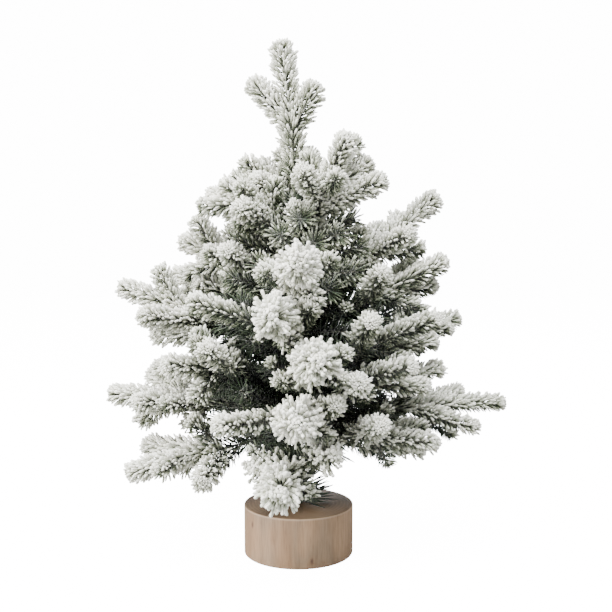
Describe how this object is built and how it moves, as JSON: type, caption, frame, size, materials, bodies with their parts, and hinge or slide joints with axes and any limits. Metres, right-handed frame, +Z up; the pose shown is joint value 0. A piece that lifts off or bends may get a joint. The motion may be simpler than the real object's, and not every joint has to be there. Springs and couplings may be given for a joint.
{
  "type": "artificial tabletop tree",
  "caption": "Small artificial fir with snow-flocked needles on bendable wire branches, bound to a taped pole that stands in a turned wooden base.",
  "frame": {"origin": "centre of the wooden base's underside, on the table", "axes": "+Z up along the pole, -Y towards the viewer of the front, +X to the viewer's right"},
  "size_m": [0.3648, 0.2994, 0.4543],
  "materials": {
    "base_wood": "sanded, lightly whitewashed",
    "pole": "dark green paint",
    "stem_tape": "matt wound tape",
    "bare_needles": "dull green needle strips",
    "branch_wire": "dull twisted wire",
    "flocked_needles": "matt fibre flock over green needles"
  },
  "bodies": {
    "tree_trunk": {"wood_base": "base_wood", "center_pole": "pole", "pole_tape": "stem_tape", "foot_needles": "bare_needles"},
    "top_branch_1": {"top_branch_1_wire": "branch_wire", "top_branch_1_needles": "flocked_needles"},
    "top_branch_2": {"top_branch_2_wire": "branch_wire", "top_branch_2_needles": "flocked_needles"},
    "top_branch_3": {"top_branch_3_wire": "branch_wire", "top_branch_3_needles": "flocked_needles"},
    "top_branch_4": {"top_branch_4_wire": "branch_wire", "top_branch_4_needles": "flocked_needles"},
    "upper_branch_1": {"upper_branch_1_wire": "branch_wire", "upper_branch_1_needles": "flocked_needles"},
    "upper_branch_2": {"upper_branch_2_wire": "branch_wire", "upper_branch_2_needles": "flocked_needles"},
    "upper_branch_3": {"upper_branch_3_wire": "branch_wire", "upper_branch_3_needles": "flocked_needles"},
    "upper_branch_4": {"upper_branch_4_wire": "branch_wire", "upper_branch_4_needles": "flocked_needles"},
    "upper_branch_5": {"upper_branch_5_wire": "branch_wire", "upper_branch_5_needles": "flocked_needles"},
    "middle_branch_1": {"middle_branch_1_wire": "branch_wire", "middle_branch_1_needles": "flocked_needles"},
    "middle_branch_2": {"middle_branch_2_wire": "branch_wire", "middle_branch_2_needles": "flocked_needles"},
    "middle_branch_3": {"middle_branch_3_wire": "branch_wire", "middle_branch_3_needles": "flocked_needles"},
    "middle_branch_4": {"middle_branch_4_wire": "branch_wire", "middle_branch_4_needles": "flocked_needles"},
    "middle_branch_5": {"middle_branch_5_wire": "branch_wire", "middle_branch_5_needles": "flocked_needles"},
    "middle_branch_6": {"middle_branch_6_wire": "branch_wire", "middle_branch_6_needles": "flocked_needles"},
    "lower_branch_1": {"lower_branch_1_wire": "branch_wire", "lower_branch_1_needles": "flocked_needles"},
    "lower_branch_2": {"lower_branch_2_wire": "branch_wire", "lower_branch_2_needles": "flocked_needles"},
    "lower_branch_3": {"lower_branch_3_wire": "branch_wire", "lower_branch_3_needles": "flocked_needles"},
    "lower_branch_4": {"lower_branch_4_wire": "branch_wire", "lower_branch_4_needles": "flocked_needles"},
    "lower_branch_5": {"lower_branch_5_wire": "branch_wire", "lower_branch_5_needles": "flocked_needles"},
    "lower_branch_6": {"lower_branch_6_wire": "branch_wire", "lower_branch_6_needles": "flocked_needles"},
    "bottom_branch_1": {"bottom_branch_1_wire": "branch_wire", "bottom_branch_1_needles": "flocked_needles"},
    "bottom_branch_2": {"bottom_branch_2_wire": "branch_wire", "bottom_branch_2_needles": "flocked_needles"},
    "bottom_branch_3": {"bottom_branch_3_wire": "branch_wire", "bottom_branch_3_needles": "flocked_needles"},
    "bottom_branch_4": {"bottom_branch_4_wire": "branch_wire", "bottom_branch_4_needles": "flocked_needles"},
    "bottom_branch_5": {"bottom_branch_5_wire": "branch_wire", "bottom_branch_5_needles": "flocked_needles"},
    "bottom_branch_6": {"bottom_branch_6_wire": "branch_wire", "bottom_branch_6_needles": "flocked_needles"},
    "leader": {"leader_wire": "branch_wire", "leader_needles": "flocked_needles"}
  },
  "joints": [
    {"name": "top_branch_1_bend", "type": "hinge", "parent": "tree_trunk", "child": "top_branch_1", "pos_m": [0.00418, -0.00498, 0.2741], "axis": [-0.766, -0.6428, 0], "range_deg": [-45, 25], "deforming": ["top_branch_1_needles"]},
    {"name": "top_branch_2_bend", "type": "hinge", "parent": "tree_trunk", "child": "top_branch_2", "pos_m": [-0.00563, 0.00325, 0.30194], "axis": [0.5, 0.866, 0], "range_deg": [-35, 25], "deforming": ["top_branch_2_needles"]},
    {"name": "top_branch_3_bend", "type": "hinge", "parent": "tree_trunk", "child": "top_branch_3", "pos_m": [-0.0064, -0.00113, 0.27874], "axis": [-0.1736, 0.9848, 0], "range_deg": [-35, 14], "deforming": ["top_branch_3_needles"]},
    {"name": "top_branch_4_bend", "type": "hinge", "parent": "tree_trunk", "child": "top_branch_4", "pos_m": [0.00168, 0.00628, 0.2973], "axis": [0.9659, -0.2588, 0], "range_deg": [-45, 22], "deforming": ["top_branch_4_needles"]},
    {"name": "upper_branch_1_bend", "type": "hinge", "parent": "tree_trunk", "child": "upper_branch_1", "pos_m": [0.0065, 0, 0.20682], "axis": [0, -1, 0], "range_deg": [-14, 28], "deforming": ["upper_branch_1_needles"]},
    {"name": "upper_branch_2_bend", "type": "hinge", "parent": "tree_trunk", "child": "upper_branch_2", "pos_m": [0, -0.0065, 0.2277], "axis": [-1, 0, 0], "range_deg": [-22, 38], "deforming": ["upper_branch_2_needles"]},
    {"name": "upper_branch_3_bend", "type": "hinge", "parent": "tree_trunk", "child": "upper_branch_3", "pos_m": [-0.00636, 0.00135, 0.23234], "axis": [0.2079, 0.9781, 0], "range_deg": [-20, 28], "deforming": ["upper_branch_3_needles"]},
    {"name": "upper_branch_4_bend", "type": "hinge", "parent": "tree_trunk", "child": "upper_branch_4", "pos_m": [-0.00574, 0.00305, 0.2045], "axis": [0.4695, 0.8829, 0], "range_deg": [-11, 17], "deforming": ["upper_branch_4_needles"]},
    {"name": "upper_branch_5_bend", "type": "hinge", "parent": "tree_trunk", "child": "upper_branch_5", "pos_m": [0.00222, 0.00611, 0.2161], "axis": [0.9397, -0.342, 0], "range_deg": [-22, 40], "deforming": ["upper_branch_5_needles"]},
    {"name": "middle_branch_1_bend", "type": "hinge", "parent": "tree_trunk", "child": "middle_branch_1", "pos_m": [0.00645, -0.00079, 0.18826], "axis": [-0.1219, -0.9925, 0], "range_deg": [-25, 14], "deforming": ["middle_branch_1_needles"]},
    {"name": "middle_branch_2_bend", "type": "hinge", "parent": "tree_trunk", "child": "middle_branch_2", "pos_m": [-0.0009, -0.00644, 0.18362], "axis": [-0.9903, 0.1392, 0], "range_deg": [-17, 20], "deforming": ["middle_branch_2_needles"]},
    {"name": "middle_branch_3_bend", "type": "hinge", "parent": "tree_trunk", "child": "middle_branch_3", "pos_m": [-0.00647, 0.00057, 0.1697], "axis": [0.0872, 0.9962, 0], "range_deg": [-21, 11], "deforming": ["middle_branch_3_needles"]},
    {"name": "middle_branch_4_bend", "type": "hinge", "parent": "tree_trunk", "child": "middle_branch_4", "pos_m": [0.00589, -0.00275, 0.15114], "axis": [-0.4226, -0.9063, 0], "range_deg": [-20, 20], "deforming": ["middle_branch_4_needles"]},
    {"name": "middle_branch_5_bend", "type": "hinge", "parent": "tree_trunk", "child": "middle_branch_5", "pos_m": [0.00618, 0.00201, 0.16274], "axis": [0.309, -0.9511, 0], "range_deg": [-25, 22], "deforming": ["middle_branch_5_needles"]},
    {"name": "middle_branch_6_bend", "type": "hinge", "parent": "tree_trunk", "child": "middle_branch_6", "pos_m": [-0.00113, 0.0064, 0.17666], "axis": [0.9848, 0.1736, 0], "range_deg": [-35, 14], "deforming": ["middle_branch_6_needles"]},
    {"name": "lower_branch_1_bend", "type": "hinge", "parent": "tree_trunk", "child": "lower_branch_1", "pos_m": [0.00068, -0.00646, 0.14418], "axis": [-0.9945, -0.1045, 0], "range_deg": [-20, 14], "deforming": ["lower_branch_1_needles"]},
    {"name": "lower_branch_2_bend", "type": "hinge", "parent": "tree_trunk", "child": "lower_branch_2", "pos_m": [-0.00563, -0.00325, 0.15114], "axis": [-0.5, 0.866, 0], "range_deg": [-11, 17], "deforming": ["lower_branch_2_needles"]},
    {"name": "lower_branch_3_bend", "type": "hinge", "parent": "tree_trunk", "child": "lower_branch_3", "pos_m": [0.00498, -0.00418, 0.13258], "axis": [-0.6428, -0.766, 0], "range_deg": [-20, 11], "deforming": ["lower_branch_3_needles"]},
    {"name": "lower_branch_4_bend", "type": "hinge", "parent": "tree_trunk", "child": "lower_branch_4", "pos_m": [-0.00644, 0.0009, 0.12098], "axis": [0.1392, 0.9903, 0], "range_deg": [-17, 11], "deforming": ["lower_branch_4_needles"]},
    {"name": "lower_branch_5_bend", "type": "hinge", "parent": "tree_trunk", "child": "lower_branch_5", "pos_m": [0.00648, 0.00045, 0.11634], "axis": [0.0698, -0.9976, 0], "range_deg": [-11, 17], "deforming": ["lower_branch_5_needles"]},
    {"name": "lower_branch_6_bend", "type": "hinge", "parent": "tree_trunk", "child": "lower_branch_6", "pos_m": [0.00305, 0.00574, 0.1349], "axis": [0.8829, -0.4695, 0], "range_deg": [-30, 14], "deforming": ["lower_branch_6_needles"]},
    {"name": "bottom_branch_1_bend", "type": "hinge", "parent": "tree_trunk", "child": "bottom_branch_1", "pos_m": [0, -0.0065, 0.11866], "axis": [-1, 0, 0], "range_deg": [-25, 17], "deforming": ["bottom_branch_1_needles"]},
    {"name": "bottom_branch_2_bend", "type": "hinge", "parent": "tree_trunk", "child": "bottom_branch_2", "pos_m": [-0.00636, -0.00135, 0.10474], "axis": [-0.2079, 0.9781, 0], "range_deg": [-28, 20], "deforming": ["bottom_branch_2_needles"]},
    {"name": "bottom_branch_3_bend", "type": "hinge", "parent": "tree_trunk", "child": "bottom_branch_3", "pos_m": [0.00584, -0.00285, 0.10242], "axis": [-0.4384, -0.8988, 0], "range_deg": [-38, 17], "deforming": ["bottom_branch_3_needles"]},
    {"name": "bottom_branch_4_bend", "type": "hinge", "parent": "tree_trunk", "child": "bottom_branch_4", "pos_m": [-0.00068, -0.00646, 0.09082], "axis": [-0.9945, 0.1045, 0], "range_deg": [-32, 28], "deforming": ["bottom_branch_4_needles"]},
    {"name": "bottom_branch_5_bend", "type": "hinge", "parent": "tree_trunk", "child": "bottom_branch_5", "pos_m": [-0.00344, 0.00551, 0.1117], "axis": [0.848, 0.5299, 0], "range_deg": [-38, 40], "deforming": ["bottom_branch_5_needles"]},
    {"name": "bottom_branch_6_bend", "type": "hinge", "parent": "tree_trunk", "child": "bottom_branch_6", "pos_m": [0.00483, 0.00435, 0.09778], "axis": [0.6691, -0.7431, 0], "range_deg": [-32, 11], "deforming": ["bottom_branch_6_needles"]},
    {"name": "leader_bend", "type": "hinge", "parent": "tree_trunk", "child": "leader", "pos_m": [0, 0, 0.3218], "axis": [0, 1, 0], "range_deg": [-40, 40], "deforming": ["leader_needles"]}
  ]
}
